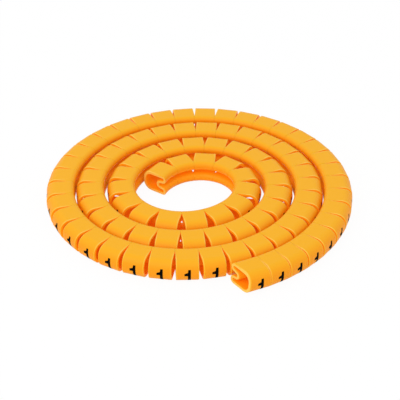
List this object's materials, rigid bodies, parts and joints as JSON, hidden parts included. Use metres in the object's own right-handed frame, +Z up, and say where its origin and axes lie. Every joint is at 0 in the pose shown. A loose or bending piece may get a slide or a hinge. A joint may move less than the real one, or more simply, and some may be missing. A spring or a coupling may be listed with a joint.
{
  "type": "cable marker",
  "caption": "Flat-wound strip of soft expanding wire markers: a tube folded in along one side, cut across into single markers that stay joined along the two lips of the fold.",
  "frame": {"origin": "middle of the coil's box, on the surface it lies on", "axes": "+Z up through the eye of the coil, +Y away from the side that the picture was taken from, +X to the right"},
  "size_m": [0.0704, 0.0702, 0.0052],
  "materials": {
    "strip": "satin soft plastic, orange-yellow, slightly translucent"
  },
  "bodies": {
    "root": {"marker_strip": "strip"}
  },
  "joints": []
}
